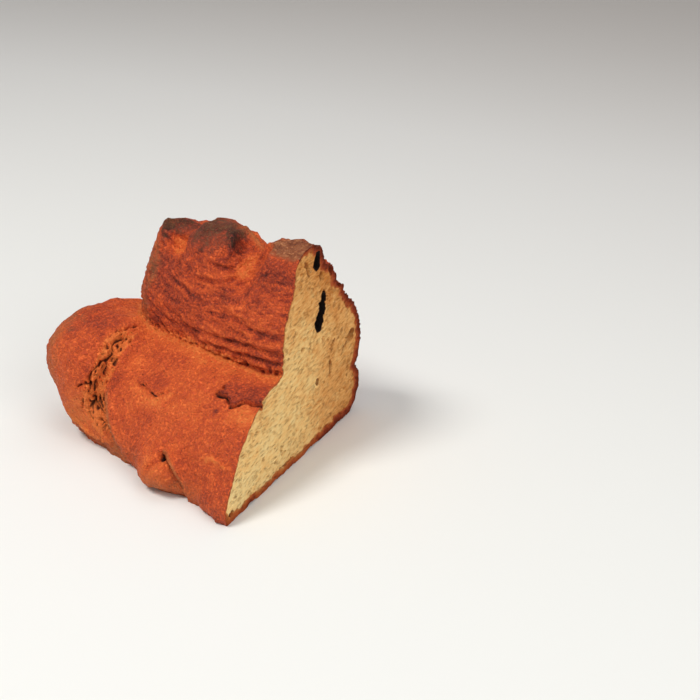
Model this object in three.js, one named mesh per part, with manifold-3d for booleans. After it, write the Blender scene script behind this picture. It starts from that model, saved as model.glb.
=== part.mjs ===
// Half of a horn-shaped country loaf, cut across its thickest place.
// Two tiers of dough lie one on the other, and three knobs stand in a row along the top.
//
// Millimetres, +Z up. While it is built, x is 0 on the cut face and negative along the horn,
// y runs from front to back, and the half stands on a board at the height BOARD.
// At the end the half is moved so that the origin is under the middle of its box.

import * as THREE from 'three';
import { mergeVertices } from 'three/addons/utils/BufferGeometryUtils.js';
import Module from 'manifold-3d';

const wasm = await Module();
wasm.setup();

// ---- driving dimensions ----

const BOARD = -3; // height of the underside
const SWEEP = -15.5; // degrees that the rolls turn back from a line square to the cut
const ROLL_TOP = 61; // height of the lower tier
const ROLL_REACH = 62; // from the middle of the front roll to its front
const SHOULDER_TOP = 116; // height of the upper tier between its knobs
const KNOB_TOP = 128; // height of the middle knob
const CRUMB_BEYOND = 12; // dough made past the cut and under the board, then cut away
const EMBEDDED = 30; // height at which the upper tier starts, inside the lower one

// ---- the lobes of dough ----
// at: middle; size: half axes; stretch: half length of a straight run along the lobe's own x;
// turn: degrees about z, y and x; blend: how softly it runs into the ones before it;
// square: 2 for a round section, more for a flatter one; hollow: takes dough away instead.

const lowerTier = [
  {
    name: 'front roll',
    at: [-44, 75, 2],
    size: [24, ROLL_REACH, ROLL_TOP - 2],
    stretch: 68,
    turn: [SWEEP, 0, 0],
    square: 1.8,
  },
  { name: 'toe at the cut', at: [-7, 60, 2], size: [30, ROLL_REACH, 24], blend: 10 },
  {
    name: 'lobe folded under',
    at: [-52, 31.5, 8],
    size: [23, 29, 20],
    turn: [SWEEP, 0, 0],
    blend: 7,
  },
  {
    name: 'end lobe',
    at: [-130, 78, 40],
    size: [31, 43, 26.5],
    turn: [-14, 4, 0],
    square: 2.6,
    blend: 5,
  },
  {
    name: 'foot of the end lobe',
    at: [-124, 73, 25],
    size: [23, 42, 36],
    turn: [-12, 12, 0],
    blend: 8,
  },
  { name: 'back roll', at: [-70, 112, 18], size: [66, 42, 44], turn: [-10, 0, 0], blend: 18 },
  { name: 'low bulge at the back', at: [0, 128, 15], size: [40, 28, 21], blend: 10 },
  {
    name: 'hollow under the roll',
    at: [-118, 18, -4],
    size: [20, 16, 16],
    turn: [SWEEP, 0, 0],
    blend: 8,
    hollow: true,
  },
];

const upperTier = [
  {
    name: 'upper roll',
    at: [-50, 107, 70],
    size: [30, 38, SHOULDER_TOP - 70],
    stretch: 44,
    turn: [-13, 0, 0],
  },
  { name: 'upper roll at the cut', at: [0, 101, 73], size: [36, 27, 43], blend: 10 },
  { name: 'slope down the back', at: [0, 125, 54], size: [50, 37, 29], turn: [0, 0, -42], blend: 14 },
  { name: 'knob at the cut', at: [-8, 95, KNOB_TOP - 18.5], size: [28, 17, 18.5], square: 3, blend: 6 },
  {
    name: 'middle knob',
    at: [-61, 104, KNOB_TOP - 25],
    size: [26, 21, 25],
    turn: [-10, 0, 0],
    square: 2.4,
    blend: 5,
  },
  { name: 'far knob', at: [-99, 111, 95], size: [15, 13, 24], turn: [0, 8, 0], square: 4, blend: 6 },
  {
    name: 'dish in the far knob',
    at: [-91, 88, 119],
    size: [9, 13, 13],
    turn: [0, 0, 30],
    blend: 4,
    hollow: true,
  },
  {
    name: 'dish in the middle knob',
    at: [-36, 86, 122],
    size: [14, 15, 13],
    turn: [0, 0, 20],
    blend: 4,
    hollow: true,
  },
  {
    name: 'dip before the knob at the cut',
    at: [-38, 78, 111],
    size: [9, 9, 11],
    turn: [0, 0, 30],
    blend: 8,
    hollow: true,
  },
];

// ---- tears and folds in the crust ----

const tear = {
  // the torn seam where the front roll was laid against the end lobe
  line: [[-112, 76, 63], [-111, 64, 59], [-113, 49, 51], [-115, 40, 34], [-112, 34, 22], [-102, 28, 11]],
  wide: 4,
  deep: 3.5,
  lip: 1.2,
};

const crease = {
  // the line along which the lobe under the roll was tucked in
  line: [[-51, 12, 21], [-43, 10, 10], [-36, 7, 2]],
  wide: 2.5,
  deep: 2.5,
  lip: 0.8,
};

const lumps = {
  // hand-shaped dough is nowhere quite even: slow swells all over the crust
  high: 1.1,
  apart: [52, 43, 38],
};

const flap = {
  // a ragged scale of crust that has lifted off the front roll
  at: [-17, 50, 57],
  facing: [0.05, -0.35, 0.93],
  wide: 38,
  tall: 27,
  thick: 1.6,
  sunk: 1.5,
  ragged: 0.16,
  around: 30,
  rings: 10,
};

// ---- holes in the crumb on the cut face ----
// y, z: middle; wide, tall: size on the face; deep: into the crumb; lean: degrees from upright

const holes = [
  { y: 110.5, z: 85.5, wide: 6.5, tall: 15, deep: 11, lean: 12 },
  { y: 107.5, z: 77, wide: 10, tall: 12.5, deep: 13, lean: 28 },
  { y: 118, z: 87, wide: 11, tall: 12, deep: 4, lean: 0 },
  { y: 105.5, z: 116.5, wide: 9, tall: 11, deep: 7, lean: 20 },
  { y: 93, z: 115, wide: 4, tall: 10, deep: 4, lean: -25 },
  { y: 85, z: 108, wide: 5, tall: 8, deep: 3, lean: 35 },
  { y: 110, z: 105.5, wide: 4, tall: 6, deep: 4, lean: 10 },
  { y: 120, z: 103.5, wide: 3, tall: 8, deep: 4, lean: -28 },
  { y: 147.5, z: 49.5, wide: 11, tall: 8, deep: 4, lean: 70 },
  { y: 119.5, z: 39.5, wide: 3, tall: 8, deep: 4, lean: 0 },
  { y: 123, z: 53, wide: 3, tall: 7, deep: 3, lean: 25 },
  { y: 103.5, z: 38, wide: 3, tall: 3, deep: 3, lean: 0 },
  { y: 95, z: 62.5, wide: 3, tall: 4, deep: 3, lean: 30 },
  { y: 5, z: 4.5, wide: 4, tall: 4, deep: 4, lean: 0 },
  { y: 68, z: 2.6, wide: 24, tall: 1.6, deep: 3, lean: 0 },
];

// ---- dough as a distance field ----

function turned([yaw, pitch, roll]) {
  const rad = THREE.MathUtils.degToRad;
  return new THREE.Quaternion().setFromEuler(new THREE.Euler(rad(roll), rad(pitch), rad(yaw), 'ZYX'));
}

// distance from a point to a lobe's skin, negative inside
function toLobe(point, lobe) {
  const q = point.clone().sub(new THREE.Vector3(...lobe.at));
  q.applyQuaternion(turned(lobe.turn ?? [0, 0, 0]).invert());
  const run = lobe.stretch ?? 0;
  q.x = Math.sign(q.x) * Math.max(Math.abs(q.x) - run, 0);
  const power = lobe.square ?? 2;
  const share = q.toArray().map((value, i) => Math.abs(value) / lobe.size[i]);
  const reach = Math.max(share.reduce((sum, s) => sum + s ** power, 0) ** (1 / power), 1e-6);
  const slopes = share.map((s, i) => (s / reach) ** (power - 1) / lobe.size[i]);
  return (reach - 1) / Math.max(Math.hypot(...slopes), 1e-6);
}

// the smaller of two distances, rounded over where they are within blend of each other
function joined(a, b, blend) {
  if (!blend) return Math.min(a, b);
  const near = Math.max(blend - Math.abs(a - b), 0) / blend;
  return Math.min(a, b) - near * near * blend * 0.25;
}

function dough(point, lobes) {
  let distance = Infinity;
  for (const lobe of lobes) {
    const next = toLobe(point, lobe);
    distance = lobe.hollow ? -joined(-distance, next, lobe.blend) : joined(distance, next, lobe.blend);
  }
  return distance;
}

// a groove along a line, with a low lip on each side
function grooveOf({ line, wide, deep, lip }) {
  const curve = new THREE.CatmullRomCurve3(line.map((p) => new THREE.Vector3(...p)));
  const track = curve.getPoints(40);
  return (point) => {
    const away = Math.min(...track.map((p) => p.distanceTo(point)));
    return lip * Math.exp(-(((away - 2 * wide) / wide) ** 2)) - deep * Math.exp(-((away / wide) ** 2));
  };
}

const grooves = [tear, crease].map(grooveOf);

function swell({ x, y, z }) {
  const [a, b, c] = lumps.apart.map((gap) => (2 * Math.PI) / gap);
  const one = Math.sin(a * x + 1.3 * Math.sin(c * z)) * Math.sin(b * y + 0.9);
  const two = Math.sin(c * z + 1.1 * Math.sin(b * y + 2)) * Math.cos(a * x * 0.6);
  return lumps.high * (0.6 * one + 0.4 * two);
}

// distance to the crust: the dough with its swells, tears and folds
function skin(point, lobes) {
  let raised = swell(point);
  for (const groove of grooves) raised += groove(point);
  return dough(point, lobes) - raised;
}

// ---- meshes ----

function solidOf(geometry) {
  geometry.deleteAttribute('normal');
  geometry.deleteAttribute('uv');
  const merged = mergeVertices(geometry, 1e-4);
  return new wasm.Manifold(new wasm.Mesh({
    numProp: 3,
    vertProperties: new Float32Array(merged.attributes.position.array),
    triVerts: new Uint32Array(merged.index.array),
  }));
}

// a ball whose points are pushed out along their rays as far as the dough goes
function tierSolid(lobes, { middle, reach, detail, lowest }) {
  const geometry = new THREE.IcosahedronGeometry(1, detail);
  const position = geometry.attributes.position;
  const start = new THREE.Vector3(...middle);
  const spread = new THREE.Vector3(...reach);
  const far = 2.2 * Math.max(...reach);
  const ray = new THREE.Vector3();
  const point = new THREE.Vector3();
  const inside = (distance) => {
    point.copy(start).addScaledVector(ray, distance);
    return Math.max(skin(point, lobes), point.x - CRUMB_BEYOND, lowest - point.z) < 0;
  };
  const known = new Map();
  for (let i = 0; i < position.count; i += 1) {
    ray.fromBufferAttribute(position, i).multiply(spread).normalize();
    const key = ray.toArray().map((value) => value.toFixed(5)).join();
    if (!known.has(key)) {
      let out = far;
      while (out > 1 && !inside(out)) out -= 2;
      let beyond = out + 2;
      for (let step = 0; step < 12; step += 1) {
        const half = (out + beyond) / 2;
        if (inside(half)) out = half;
        else beyond = half;
      }
      known.set(key, start.clone().addScaledVector(ray, out).toArray());
    }
    position.setXYZ(i, ...known.get(key));
  }
  return solidOf(geometry);
}

// the scale of crust: a flattened ball with a ragged rim, draped over the roll
function flapSolid() {
  const geometry = new THREE.SphereGeometry(1, flap.around, flap.rings);
  const position = geometry.attributes.position;
  const out = new THREE.Vector3(...flap.facing).normalize();
  const along = out.clone().cross(new THREE.Vector3(0, 0, 1)).normalize();
  const up = along.clone().cross(out);
  const point = new THREE.Vector3();
  for (let i = 0; i < position.count; i += 1) {
    point.fromBufferAttribute(position, i);
    const angle = Math.atan2(point.z, point.x);
    const rim = Math.hypot(point.x, point.z);
    const points = Math.sin(5 * angle + 1) + 0.7 * Math.sin(9 * angle) + 0.5 * Math.sin(14 * angle + 2);
    const rag = 1 + flap.ragged * points;
    const height = point.y > 0 ? flap.thick * Math.min(1, 3 * point.y) : -flap.sunk;
    const place = new THREE.Vector3(...flap.at);
    place.addScaledVector(along, 0.5 * flap.wide * rag * rim * Math.cos(angle));
    place.addScaledVector(up, 0.5 * flap.tall * rag * rim * Math.sin(angle));
    for (let step = 0; step < 8; step += 1) place.addScaledVector(out, -skin(place, lowerTier));
    place.addScaledVector(out, height);
    position.setXYZ(i, place.x, place.y, place.z);
  }
  return solidOf(geometry);
}

function holeSolid({ y, z, wide, tall, deep, lean }) {
  const across = Math.max(wide, tall) > 8 ? 14 : 9;
  const geometry = new THREE.SphereGeometry(0.5, across, Math.round(across * 0.6));
  geometry.scale(2 * deep, wide, tall);
  geometry.rotateX(THREE.MathUtils.degToRad(-lean));
  geometry.translate(0, y, z);
  return solidOf(geometry);
}

function blockSolid(from, to) {
  const geometry = new THREE.BoxGeometry(to[0] - from[0], to[1] - from[1], to[2] - from[2]);
  geometry.translate((from[0] + to[0]) / 2, (from[1] + to[1]) / 2, (from[2] + to[2]) / 2);
  return solidOf(geometry);
}

// ---- the half loaf ----

const lower = tierSolid(lowerTier, {
  middle: [-66, 84, 16],
  reach: [96, 78, 52],
  detail: 21,
  lowest: BOARD - CRUMB_BEYOND,
});
const upper = tierSolid(upperTier, {
  middle: [-46, 104, 76],
  reach: [70, 38, 50],
  detail: 18,
  lowest: EMBEDDED,
});
const roomForHalf = blockSolid([-200, -40, BOARD], [0, 200, 160]);

let half = lower.add(upper).add(flapSolid()).intersect(roomForHalf);
for (const hole of holes) half = half.subtract(holeSolid(hole));

function meshOf(solid, name, material) {
  const { vertProperties, triVerts } = solid.getMesh();
  const geometry = new THREE.BufferGeometry();
  geometry.setAttribute('position', new THREE.BufferAttribute(new Float32Array(vertProperties), 3));
  geometry.setIndex(new THREE.BufferAttribute(new Uint32Array(triVerts), 1));
  geometry.computeVertexNormals();
  const mesh = new THREE.Mesh(geometry, material);
  mesh.name = name;
  return mesh;
}

const crust = new THREE.MeshStandardMaterial({ color: 0xb4603a, roughness: 0.75, metalness: 0 });
const loaf = meshOf(half, 'half_loaf', crust);
loaf.geometry.computeBoundingBox();
const middle = loaf.geometry.boundingBox.getCenter(new THREE.Vector3());
loaf.geometry.translate(-middle.x, -middle.y, -BOARD);

const group = new THREE.Group();
group.add(loaf);

export default group;
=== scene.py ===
# Half of a horn-shaped country loaf: two tiers of dough with three knobs, cut across the middle.
# Shapes are worked out in mm, with x at 0 on the cut face and below 0 along the horn, y from the
# front to the back, and z up. They move to the shared frame when the mesh is made.
import math

import bmesh
import bpy
import numpy as np
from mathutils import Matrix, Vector
from mathutils.geometry import delaunay_2d_cdt
from mathutils.kdtree import KDTree


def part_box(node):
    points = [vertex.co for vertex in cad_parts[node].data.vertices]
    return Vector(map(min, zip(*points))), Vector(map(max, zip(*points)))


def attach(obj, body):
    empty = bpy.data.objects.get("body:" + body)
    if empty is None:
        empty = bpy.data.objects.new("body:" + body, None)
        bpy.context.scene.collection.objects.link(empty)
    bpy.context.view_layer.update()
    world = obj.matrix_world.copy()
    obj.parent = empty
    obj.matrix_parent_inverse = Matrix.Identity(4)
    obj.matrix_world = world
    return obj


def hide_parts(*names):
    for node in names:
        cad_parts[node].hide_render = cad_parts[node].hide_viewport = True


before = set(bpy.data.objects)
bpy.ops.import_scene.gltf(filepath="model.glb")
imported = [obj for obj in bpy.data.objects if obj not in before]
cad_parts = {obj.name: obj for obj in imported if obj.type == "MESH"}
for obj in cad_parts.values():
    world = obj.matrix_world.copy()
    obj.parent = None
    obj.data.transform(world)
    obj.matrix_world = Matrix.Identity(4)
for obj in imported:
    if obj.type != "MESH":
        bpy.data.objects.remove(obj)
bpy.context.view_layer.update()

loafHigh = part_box("half_loaf")[1]
frontToMiddle = 77.17  # mm from y = 0 to the middle of the half


dough = {
    "board": -3,           # height of the board in this drawing
    "sweep": -15.5,        # degrees the rolls turn back from the cut
    "rollTop": 61,         # height of the lower tier
    "rollReach": 62,       # middle of the front roll to its front
    "shoulderTop": 116,    # upper tier between its knobs
    "knobTop": 128,
    "seamSoftness": 3,     # how softly the upper tier sits into the lower one
    "swellHigh": 1.1,      # slow unevenness of hand-shaped dough
    "swellApart": (52, 43, 38),
    "grid": 2.05,          # spacing of the crust's mesh
    "roomLow": (-170, -12, -8),  # the room in which the mesh is made
    "roomHigh": (6, 168, 136),
    "beyond": 3.0,         # dough past the cut and the board, to be sliced off
    "seenFrom": (0.41, -0.79, 0.45),  # the side that shows gets the finer mesh
}
sweep, board = dough["sweep"], dough["board"]
toFrame = np.array([loafHigh.x * 1000, -frontToMiddle, -board])

# lobes of dough, each blended into the ones before it, or scooped out of them
lowerTier = [
    dict(at=(-44, 75, 2), size=(24, dough["rollReach"], dough["rollTop"] - 2), stretch=68,
         turn=(sweep, 0, 0), power=1.8),                                               # front roll
    dict(at=(-7, 60, 2), size=(30, dough["rollReach"], 24), blend=10),                 # toe at the cut
    dict(at=(-52, 31.5, 8), size=(23, 29, 20), turn=(sweep, 0, 0), blend=7),           # lobe folded under
    dict(at=(-130, 78, 40), size=(31, 43, 26.5), turn=(-14, 4, 0), power=2.6, blend=5),  # end lobe
    dict(at=(-124, 73, 25), size=(23, 42, 36), turn=(-12, 12, 0), blend=8),            # its foot
    dict(at=(-70, 112, 18), size=(66, 42, 44), turn=(-10, 0, 0), blend=18),            # back roll
    dict(at=(0, 128, 15), size=(40, 28, 21), blend=10),                                # low bulge behind
    dict(at=(-118, 18, -4), size=(20, 16, 16), turn=(sweep, 0, 0), blend=8, hollow=True),
]
upperTier = [
    dict(at=(-50, 107, 70), size=(30, 38, dough["shoulderTop"] - 70), stretch=44, turn=(-13, 0, 0)),
    dict(at=(0, 101, 73), size=(36, 27, 43), blend=10),
    dict(at=(0, 125, 54), size=(50, 37, 29), turn=(0, 0, -42), blend=14),              # slope down the back
    dict(at=(-8, 95, 109.5), size=(28, 17, 18.5), power=3, blend=6),
    dict(at=(-61, 104, dough["knobTop"] - 25), size=(26, 21, 25), turn=(-10, 0, 0), power=2.4, blend=5),
    dict(at=(-99, 111, 95), size=(15, 13, 24), turn=(0, 8, 0), power=4, blend=6),
    dict(at=(-91, 88, 119), size=(9, 13, 13), turn=(0, 0, 30), blend=4, hollow=True),
    dict(at=(-36, 86, 122), size=(14, 15, 13), turn=(0, 0, 20), blend=4, hollow=True),
    dict(at=(-38, 78, 111), size=(9, 9, 11), turn=(0, 0, 30), blend=8, hollow=True),
]


def turned(turn):
    # rotation by yaw, pitch and roll in degrees
    (cy, sy), (cp, sp), (cr, sr) = [(math.cos(a), math.sin(a)) for a in np.radians(turn)]
    aboutZ = np.array([[cy, -sy, 0], [sy, cy, 0], [0, 0, 1]])
    aboutY = np.array([[cp, 0, sp], [0, 1, 0], [-sp, 0, cp]])
    aboutX = np.array([[1, 0, 0], [0, cr, -sr], [0, sr, cr]])
    return aboutZ @ aboutY @ aboutX


def toLobe(p, lobe):
    # distance to a lobe's skin, below 0 inside it
    q = (p - np.array(lobe["at"])) @ turned(lobe.get("turn", (0, 0, 0)))
    q[:, 0] = np.sign(q[:, 0]) * np.maximum(np.abs(q[:, 0]) - lobe.get("stretch", 0), 0)
    size = np.array(lobe["size"], float)
    power = lobe.get("power", 2)
    share = np.abs(q) / size
    reach = np.maximum((share ** power).sum(1) ** (1 / power), 1e-6)
    slope = np.sqrt((((share / reach[:, None]) ** (power - 1) / size) ** 2).sum(1))
    return (reach - 1) / np.maximum(slope, 1e-6)


def joined(a, b, blend):
    if not blend:
        return np.minimum(a, b)
    near = np.maximum(blend - np.abs(a - b), 0) / blend
    return np.minimum(a, b) - near * near * blend * 0.25


def tier(p, lobes):
    distance = np.full(len(p), 1e3)
    for lobe in lobes:
        skin = toLobe(p, lobe)
        if lobe.get("hollow"):
            distance = -joined(-distance, skin, lobe["blend"])
        else:
            distance = joined(distance, skin, lobe.get("blend", 0))
    return distance


def swell(p):
    a, b, c = [2 * math.pi / gap for gap in dough["swellApart"]]
    x, y, z = p.T
    one = np.sin(a * x + 1.3 * np.sin(c * z)) * np.sin(b * y + 0.9)
    two = np.sin(c * z + 1.1 * np.sin(b * y + 2)) * np.cos(a * x * 0.6)
    return dough["swellHigh"] * (0.6 * one + 0.4 * two)


def doughSkin(p):
    return joined(tier(p, lowerTier), tier(p, upperTier), dough["seamSoftness"]) - swell(p)


def outward(p, field, nudge=0.4):
    # a field's value at each point, and the way out of it
    here = field(p)
    slope = np.stack([field(p + nudge * np.eye(3)[i]) - here for i in range(3)], 1)
    return here, slope / np.maximum(np.linalg.norm(slope, axis=1, keepdims=True), 1e-9)


lattices = {}
latticeSide = 32


def wander(p, size, seed):
    # smooth noise from -1 to 1 with bumps about size mm apart
    if seed not in lattices:
        lattices[seed] = np.random.default_rng(seed).random([latticeSide] * 3) * 2 - 1
    lattice = lattices[seed]
    lean = turned((37 + 61 * seed, 23 + 17 * seed, 11 + 29 * seed))
    q = (p @ lean) / size
    cell = np.floor(q).astype(int)
    f = q - cell
    f = f * f * (3 - 2 * f)
    share = (1 - f, f)
    total = 0
    for i, j, k in np.ndindex(2, 2, 2):
        weight = share[i][:, 0] * share[j][:, 1] * share[k][:, 2]
        a, b, c = ((cell + (i, j, k)) % latticeSide).T
        total = total + weight * lattice[a, b, c]
    return total * 1.4


def rough(p, size, seed, layers=3):
    total, strength = 0, 1.0
    for layer in range(layers):
        total = total + strength * wander(p, size, seed + 50 * layer)
        size, strength = size / 2.1, strength * 0.5
    return total / 1.6


def creases(p, size, seed, layers=2):
    # sharp valleys and broad ridges, from -1 to 0.7
    return 0.7 - np.minimum(np.abs(rough(p, size, seed, layers)) * 2.8, 1.7)


def smooth(value, low, high):
    t = np.clip((value - low) / (high - low), 0, 1)
    return t * t * (3 - 2 * t)


def bell(value, wide=1.0):
    # one where the value is 0, and fading to nothing about wide away
    return np.exp(-(value / wide) ** 2)


def beside(*parts):
    return np.stack(parts, 1)


def drawn(points, steps=60):
    # a smooth track through a few points
    points = np.array(points, float)
    ends = np.vstack([2 * points[0] - points[1], points, 2 * points[-1] - points[-2]])
    track = []
    for at in np.linspace(0, len(points) - 1.0001, steps):
        i = int(at)
        t = at - i
        a, b, c, d = ends[i:i + 4]
        track.append(0.5 * (2 * b + (c - a) * t + (2 * a - 5 * b + 4 * c - d) * t ** 2
                            + (3 * b - a - 3 * c + d) * t ** 3))
    return np.array(track)


def laidOn(points):
    # the track drawn through the points, dropped onto the dough
    track = drawn(points)
    for _ in range(3):
        distance, facing = outward(track, doughSkin)
        track = track - facing * np.clip(distance, -4, 4)[:, None]
    return track


def awayFrom(p, track, across=0, margin=20):
    # distance to a track, how far along it, and which side of it: positive towards the cut, or up
    # another axis
    away, along, side = np.full(len(p), 1e9), np.zeros(len(p)), np.zeros(len(p))
    near = np.flatnonzero(np.all((p > track.min(0) - margin) & (p < track.max(0) + margin), axis=1))
    if len(near):
        gaps = np.linalg.norm(p[near][:, None] - track[None], axis=2)
        closest = gaps.argmin(1)
        away[near] = gaps.min(1)
        along[near] = closest / (len(track) - 1)
        side[near] = np.sign(p[near, across] - track[closest, across])
    return away, along, side


def ovalReach(p, at, size):
    return np.linalg.norm((p - np.array(at)) / np.array(size), axis=1)


def patch(p, at, size, noise=0, crisp=1.0):
    # one inside an oval patch, fading to nothing around its rim
    return smooth(1 + 0.5 * crisp - ovalReach(p, at, size) + noise, 0, crisp)


crust = {
    # the bake value also carries painted shade and painted highlight in places
    "bakeAndShading": 0.375,         # 0 is pale flake, 0.5 terracotta, 0.75 maroon, 1 black
    "fine": 0.34,          # mm, roughness of the skin at 2.6 mm
    "broad": 0.50,         # and at 9 mm
    "streak": 0.30,        # fine lines round the front roll
    "wrinkle": 1.15,       # depth of the wrinkles up the front of the upper tier
    "flake": 1.0,          # flakes along the seam between the tiers
    "backRag": 1.3,        # broken edge down the back of the cut
    "undercut": 2.4,       # the foot turns in before it meets the board
}
tear = {  # where the front roll was laid against the end lobe and pulled open
    "cracks": [
        [(-109, 74, 63), (-112, 69, 64), (-114, 63, 63)],
        [(-110, 63, 61), (-112, 59, 61), (-113, 54, 59), (-111, 52, 57)],
        [(-112, 50, 56), (-112, 47, 54), (-115, 42, 51), (-118, 37, 45), (-119, 36, 42), (-118, 35, 35)],
        [(-115, 39, 41), (-116, 37, 35), (-116, 36, 29), (-119, 34, 23)],
        [(-116, 36, 29), (-113, 35, 24), (-107, 33, 21)],
        [(-112, 33, 18), (-107, 31, 15)],
        [(-118, 36, 40), (-123, 34, 39), (-127, 32, 36)],
        [(-122, 33, 29), (-123, 33, 24)],
    ],
    "shoulder": [(-108, 74, 62), (-106, 64, 58), (-107, 54, 54), (-107, 48, 48), (-109, 44, 41),
                 (-111, 41, 35), (-110, 38, 30), (-105, 32, 20), (-97, 26, 10), (-91, 24, 7), (-87, 22, 1)],
    "deep": 2.0,
    "wide": 0.75,
    "raggedness": 1.3,
    "valley": 2.7,         # how far the join lies below the front roll
}
tuck = {  # the edge of the roll over the lobe folded under it
    "line": [(-52, 12, 23), (-50, 12, 22), (-45, 9, 18), (-41, 8, 13), (-37, 8, 8), (-35, 7, 3),
             (-34, 6, -3)],
    "pit": (-51, 11, 20.5),
    "step": 2.6,
}
scar = {  # a nick across the front roll
    "line": [(-89, 44, 44), (-85, 43, 44), (-81, 42, 43), (-77, 40, 42), (-73, 39, 42), (-69, 40, 44),
             (-66, 41, 45)],
    "high": 1.7,           # how far its upper lip is lifted
}
flap = {  # scale of crust lifted off the front roll: its outline seen from above
    "outline": [(-32, 41.5), (-28, 43.5), (-29, 46), (-27.5, 51), (-29, 60), (-28, 70), (6, 70), (6, 38),
                (0, 38.5), (-6, 38), (-10, 39), (-13, 38), (-15.5, 36), (-19, 35), (-20, 37.5),
                (-22.5, 38.5), (-24, 41)],
    "lift": 1.8,
    "shadow": 2.6,
}
wrinkles = [  # folds pressed into the upper tier: their lines, how deep, how wide
    ([(-62, 84, 112), (-59, 84, 111), (-52, 84, 110), (-45, 87, 108)], 1.5, 1.3),
    ([(-79, 86, 103), (-73, 83, 100), (-64, 81, 101), (-53, 79, 102), (-47, 81, 103), (-42, 86, 106)],
     1.5, 1.3),
    ([(-84, 84, 94), (-70, 78, 92), (-54, 76, 94)], 0.8, 1.4),
    ([(-45, 73, 94), (-37, 70, 91.5), (-24, 65, 91.5), (-12, 63, 91.5), (0, 66, 91.5)], -1.0, 2.0),
    ([(-36, 68, 86), (-20, 63, 85), (0, 64, 83)], 1.0, 1.5),
    ([(-24, 63, 78.5), (-19, 61, 79), (-9, 60, 79), (2, 64, 78)], -1.2, 1.7),
    ([(-68, 72, 70), (-54, 68, 72), (-41, 66, 73), (-32, 64, 73), (-22, 62, 75), (-8, 60, 75), (2, 62, 74)],
     1.6, 1.7),
    ([(-60, 70, 66), (-41, 66, 67.5), (-29, 64, 68), (-13, 60, 69.5), (2, 62, 69)], 1.4, 1.3),
    ([(-49, 11, 21), (-54, 8, 18), (-57, 5, 16), (-58, 4, 13), (-60, 4, 8)], 1.4, 1.8),  # in the lobe under
]
lightRidges = [  # low folds in the front roll, paler along their crests
    dict(line=[(-27, 13, 26), (-22, 12, 26), (-18, 12, 28), (-13, 10, 27.5), (-8, 9, 27), (-2, 8, 26)],
         high=1.5, wide=1.8, shaded=0.45, pale=0.42),
    dict(line=[(-139, 35, 22), (-134, 33, 17), (-126, 33, 11), (-120, 34, 6), (-109, 31, 5), (-100, 27, 7)],
         high=1.5, wide=1.3, shaded=0.8, pale=0.3),
]
# patches baked lighter or darker, grey where scorched matt, tan where pale; a few are painted highlight and
# painted shade, as noted beside them
marks = [
    dict(at=(-14, 93, 128), size=(19, 14, 6), grey=1.0, crisp=0.7),              # top of the knob at the cut
    dict(at=(-12, 81, 116), size=(20, 9, 12), bakeAndShading=0.17, crisp=1.3),             # its face
    dict(at=(-39, 90, 108), size=(6, 9, 8), bakeAndShading=-0.30, crisp=1.4),              # valley beside it
    # painted shade in the dish of the middle knob
    dict(at=(-46, 97, 122), size=(5, 8, 8), bakeAndShading=0.16, crisp=1.2),               # dish of the middle knob
    dict(at=(-67, 96, 124), size=(17, 12, 8), bakeAndShading=0.52, grey=0.3, crisp=1.3),   # face of the middle knob
    dict(at=(-62, 105, 128), size=(22, 9, 5), bakeAndShading=0.26, grey=0.4, crisp=1.0),   # its scorched top
    # painted highlight in the scoop of the far knob, where it faces the light
    dict(at=(-91, 99, 111), size=(8, 8, 6), bakeAndShading=-0.30, crisp=1.2),              # scoop of the far knob
    dict(at=(-97, 110, 119), size=(13, 10, 5), bakeAndShading=0.42, grey=0.2, crisp=0.8),  # its scorched top
    dict(at=(-103, 104, 113), size=(4, 6, 7), bakeAndShading=0.30, grey=0.2, crisp=0.9),
    dict(at=(-98, 90, 101), size=(9, 8, 9), bakeAndShading=0.07, crisp=1.0),
    dict(at=(-136, 66, 65), size=(19, 15, 9), bakeAndShading=0.20, crisp=1.2),             # top of the end lobe
    dict(at=(-152, 70, 42), size=(11, 36, 26), tan=0.65, crisp=1.2),             # its far end
    dict(at=(-124, 34, 18), size=(15, 8, 14), bakeAndShading=-0.16, crisp=1.3),            # its foot
    # painted highlight on the shoulder of the front roll
    dict(at=(-99, 55, 54), size=(9, 14, 10), bakeAndShading=-0.10, crisp=1.2),             # shoulder of the front roll
    dict(at=(-77, 46, 46), size=(11, 4.5, 4), bakeAndShading=0.14, crisp=1.0),             # skin over the scar
    dict(at=(-76, 34, 37), size=(15, 5, 7), bakeAndShading=-0.13, crisp=1.2),
    dict(at=(-27, 31, 47.5), size=(1.8, 1.4, 1.6), bakeAndShading=0.3, crisp=0.6),
    dict(at=(-7, 31, 49), size=(13, 7, 7), bakeAndShading=-0.30, crisp=1.4),               # under the lifted scale
    dict(at=(-7, -2, 10), size=(17, 8, 11), bakeAndShading=0.15, crisp=1.2),               # toe
    dict(at=(-50, 7, 10), size=(13, 8, 10), bakeAndShading=-0.14, crisp=1.2),              # lobe folded under
]
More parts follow.
